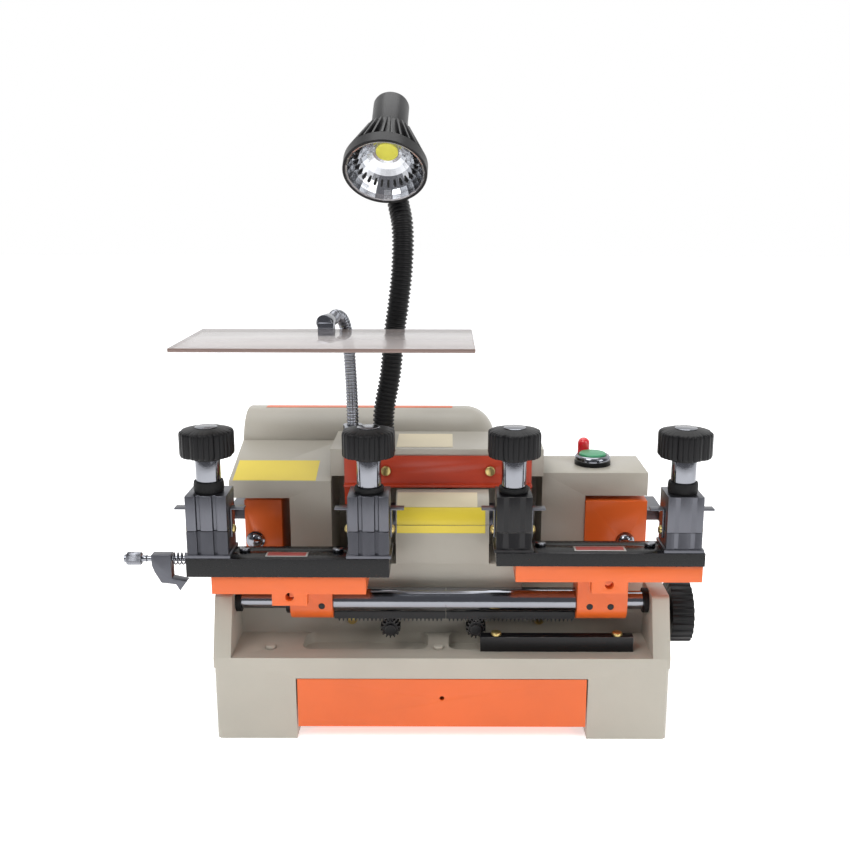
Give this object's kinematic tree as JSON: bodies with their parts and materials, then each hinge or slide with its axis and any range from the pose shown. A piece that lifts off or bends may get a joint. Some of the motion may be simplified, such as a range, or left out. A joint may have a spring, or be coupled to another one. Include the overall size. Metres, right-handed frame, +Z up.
{
  "type": "key duplicating machine",
  "caption": "Bench key duplicating machine with tilting vise carriages on a rail, a cutter spindle, a feed handwheel, a chip drawer, a lamp and a clear shield.",
  "frame": {"origin": "middle of the footprint, on the bench surface, at the centre of the four foot bolt holes", "axes": "+X along the rail to the operator's right, +Y away from the operator, +Z up"},
  "size_m": [0.4352, 0.3087, 0.4838],
  "materials": {
    "beige_enamel": "hammered cream enamel on cast metal",
    "orange_enamel": "smooth orange powder coat",
    "black_table": "black oxide and paint on ground steel",
    "ground_steel": "ground tool steel",
    "dark_steel": "blackened steel with worn edges",
    "chrome_plate": "polished chromium plate",
    "black_plastic": "moulded black plastic",
    "black_rubber": "moulded rubber",
    "brass_screw": "yellow zinc plated screws",
    "green_cap": "moulded green plastic",
    "red_lens": "moulded red lens",
    "clear_acrylic": "clear acrylic sheet with polished edges",
    "black_aluminium": "black anodised cast aluminium"
  },
  "bodies": {
    "frame": {"base_casting": "beige_enamel", "head_housing": "beige_enamel", "motor_cover": "beige_enamel", "spindle_housing": "beige_enamel", "cutter_guard": "orange_enamel", "body_fasteners": "brass_screw", "left_tracer_bracket": "orange_enamel", "right_tracer_bracket": "orange_enamel", "tracers": "ground_steel", "motor_body": "ground_steel", "drive_belt": "black_rubber", "spindle_bearings": "ground_steel", "rail_shaft": "chrome_plate", "rail_seals": "black_rubber", "tool_bar": "black_table", "button_mount": "black_plastic", "indicator_lamp": "red_lens", "power_inlet": "black_plastic", "lamp_hose": "black_plastic", "shield_socket": "chrome_plate", "shield_neck": "chrome_plate"},
    "spindle_rotor": {"spindle": "ground_steel", "left_cutter": "ground_steel", "right_cutter": "ground_steel"},
    "motor_rotor": {"motor_pulley": "ground_steel"},
    "feed_slide": {"racks": "ground_steel", "rack_sleeves": "chrome_plate"},
    "left_feed_pinion": {"left_pinion": "dark_steel"},
    "right_feed_pinion": {"right_pinion": "dark_steel"},
    "cross_drive": {"cross_shaft": "ground_steel", "handwheel": "black_plastic"},
    "drawer": {"chip_drawer": "orange_enamel"},
    "start_button": {"button_cap": "green_cap"},
    "work_lamp": {"lamp_head": "black_aluminium", "lamp_reflector": "chrome_plate"},
    "chip_shield": {"shield_plate": "clear_acrylic", "shield_clip": "chrome_plate"},
    "left_carriage": {"left_arm": "orange_enamel", "left_table": "black_table", "left_lower_jaws": "ground_steel", "left_fixings": "dark_steel", "gauge_spring": "ground_steel"},
    "right_carriage": {"right_arm": "orange_enamel", "right_table": "black_table", "right_lower_jaws": "ground_steel", "right_fixings": "dark_steel"},
    "gauge_slide_block": {"gauge_block": "ground_steel"},
    "gauge_spindle": {"gauge_screw": "chrome_plate"},
    "vise_one_jaw": {"vise_one_upper_jaw": "ground_steel"},
    "vise_one_handle": {"vise_one_knob": "black_plastic"},
    "vise_one_fingers": {"vise_one_stops": "ground_steel"},
    "vise_two_jaw": {"vise_two_upper_jaw": "ground_steel"},
    "vise_two_handle": {"vise_two_knob": "black_plastic"},
    "vise_two_fingers": {"vise_two_stops": "ground_steel"},
    "vise_three_jaw": {"vise_three_upper_jaw": "dark_steel"},
    "vise_three_handle": {"vise_three_knob": "black_plastic"},
    "vise_three_fingers": {"vise_three_stops": "ground_steel"},
    "vise_four_jaw": {"vise_four_upper_jaw": "ground_steel"},
    "vise_four_handle": {"vise_four_knob": "black_plastic"},
    "vise_four_fingers": {"vise_four_stops": "ground_steel"}
  },
  "joints": [
    {"name": "carriage_feed", "type": "slide", "parent": "frame", "child": "feed_slide", "axis": [1, 0, 0], "range_m": [-0.032, 0.008]},
    {"name": "left_pinion_spin", "type": "hinge", "parent": "frame", "child": "left_feed_pinion", "pos_m": [-0.04, -0.085, 0.0775], "axis": [0, 1, 0], "range_deg": [-262.5, 66]},
    {"name": "right_pinion_spin", "type": "hinge", "parent": "frame", "child": "right_feed_pinion", "pos_m": [0.026, -0.085, 0.0775], "axis": [0, 1, 0], "range_deg": [-262.5, 66]},
    {"name": "handwheel_spin", "type": "hinge", "parent": "frame", "child": "cross_drive", "pos_m": [0.19, -0.085, 0.0775], "axis": [1, 0, 0], "range_deg": [-262.5, 66]},
    {"name": "left_carriage_tilt", "type": "hinge", "parent": "feed_slide", "child": "left_carriage", "pos_m": [-0.1, -0.118, 0.1], "axis": [1, 0, 0], "range_deg": [-3, 10]},
    {"name": "right_carriage_tilt", "type": "hinge", "parent": "feed_slide", "child": "right_carriage", "pos_m": [0.12, -0.118, 0.1], "axis": [1, 0, 0], "range_deg": [-3, 10]},
    {"name": "vise_one_knob_turn", "type": "hinge", "parent": "vise_one_jaw", "child": "vise_one_handle", "pos_m": [-0.171, -0.136, 0.2165], "axis": [0, 0, 1], "range_deg": [0, 1445]},
    {"name": "vise_one_jaw_lift", "type": "slide", "parent": "left_carriage", "child": "vise_one_jaw", "axis": [0, 0, 1], "range_m": [0, 0.006]},
    {"name": "vise_one_stop_flip", "type": "hinge", "parent": "left_carriage", "child": "vise_one_fingers", "pos_m": [-0.171, -0.136, 0.163], "axis": [1, 0, 0], "range_deg": [0, 75]},
    {"name": "vise_two_knob_turn", "type": "hinge", "parent": "vise_two_jaw", "child": "vise_two_handle", "pos_m": [-0.0536, -0.136, 0.2165], "axis": [0, 0, 1], "range_deg": [0, 1445]},
    {"name": "vise_two_jaw_lift", "type": "slide", "parent": "left_carriage", "child": "vise_two_jaw", "axis": [0, 0, 1], "range_m": [0, 0.006]},
    {"name": "vise_two_stop_flip", "type": "hinge", "parent": "left_carriage", "child": "vise_two_fingers", "pos_m": [-0.0536, -0.136, 0.163], "axis": [1, 0, 0], "range_deg": [0, 75]},
    {"name": "vise_three_knob_turn", "type": "hinge", "parent": "vise_three_jaw", "child": "vise_three_handle", "pos_m": [0.0523, -0.136, 0.2165], "axis": [0, 0, 1], "range_deg": [0, 1445]},
    {"name": "vise_three_jaw_lift", "type": "slide", "parent": "right_carriage", "child": "vise_three_jaw", "axis": [0, 0, 1], "range_m": [0, 0.006]},
    {"name": "vise_three_stop_flip", "type": "hinge", "parent": "right_carriage", "child": "vise_three_fingers", "pos_m": [0.0523, -0.136, 0.163], "axis": [1, 0, 0], "range_deg": [0, 75]},
    {"name": "vise_four_knob_turn", "type": "hinge", "parent": "vise_four_jaw", "child": "vise_four_handle", "pos_m": [0.1762, -0.136, 0.2165], "axis": [0, 0, 1], "range_deg": [0, 1445]},
    {"name": "vise_four_jaw_lift", "type": "slide", "parent": "right_carriage", "child": "vise_four_jaw", "axis": [0, 0, 1], "range_m": [0, 0.006]},
    {"name": "vise_four_stop_flip", "type": "hinge", "parent": "right_carriage", "child": "vise_four_fingers", "pos_m": [0.1762, -0.136, 0.163], "axis": [1, 0, 0], "range_deg": [0, 75]},
    {"name": "gauge_screw_turn", "type": "hinge", "parent": "left_carriage", "child": "gauge_spindle", "pos_m": [-0.22, -0.14, 0.141], "axis": [1, 0, 0], "range_deg": [-1085, 1085]},
    {"name": "gauge_block_slide", "type": "slide", "parent": "left_carriage", "child": "gauge_slide_block", "axis": [1, 0, 0], "range_m": [-0.0024, 0.0024], "deforming": ["gauge_spring"]},
    {"name": "spindle_spin", "type": "hinge", "parent": "frame", "child": "spindle_rotor", "pos_m": [0, -0.084, 0.156], "axis": [1, 0, 0], "continuous": true},
    {"name": "motor_spin", "type": "hinge", "parent": "frame", "child": "motor_rotor", "pos_m": [0, 0.066, 0.156], "axis": [1, 0, 0], "continuous": true},
    {"name": "drawer_slide", "type": "slide", "parent": "frame", "child": "drawer", "axis": [0, -1, 0], "range_m": [0, 0.2]},
    {"name": "button_press", "type": "slide", "parent": "frame", "child": "start_button", "axis": [0, 0, -1], "range_m": [0, 0.004], "stiffness_N_per_m": 500},
    {"name": "lamp_bend", "type": "hinge", "parent": "frame", "child": "work_lamp", "pos_m": [-0.036, -0.027, 0.32], "axis": [1, 0, 0], "range_deg": [-15, 15], "deforming": ["lamp_hose"]},
    {"name": "shield_bend", "type": "hinge", "parent": "frame", "child": "chip_shield", "pos_m": [-0.075, -0.038, 0.262], "axis": [1, 0, 0], "range_deg": [-6, 15], "deforming": ["shield_neck"]}
  ],
  "couplings": [
    {"joint": "left_pinion_spin", "follows": "carriage_feed", "rad_per_m": 142.86},
    {"joint": "right_pinion_spin", "follows": "carriage_feed", "rad_per_m": 142.86},
    {"joint": "handwheel_spin", "follows": "carriage_feed", "rad_per_m": 142.86},
    {"joint": "vise_one_knob_turn", "follows": "vise_one_jaw_lift", "rad_per_m": 4188.8},
    {"joint": "vise_two_knob_turn", "follows": "vise_two_jaw_lift", "rad_per_m": 4188.8},
    {"joint": "vise_three_knob_turn", "follows": "vise_three_jaw_lift", "rad_per_m": 4188.8},
    {"joint": "vise_four_knob_turn", "follows": "vise_four_jaw_lift", "rad_per_m": 4188.8},
    {"joint": "gauge_screw_turn", "follows": "gauge_block_slide", "rad_per_m": 7854},
    {"joint": "motor_spin", "follows": "spindle_spin", "ratio": 0.46188}
  ]
}
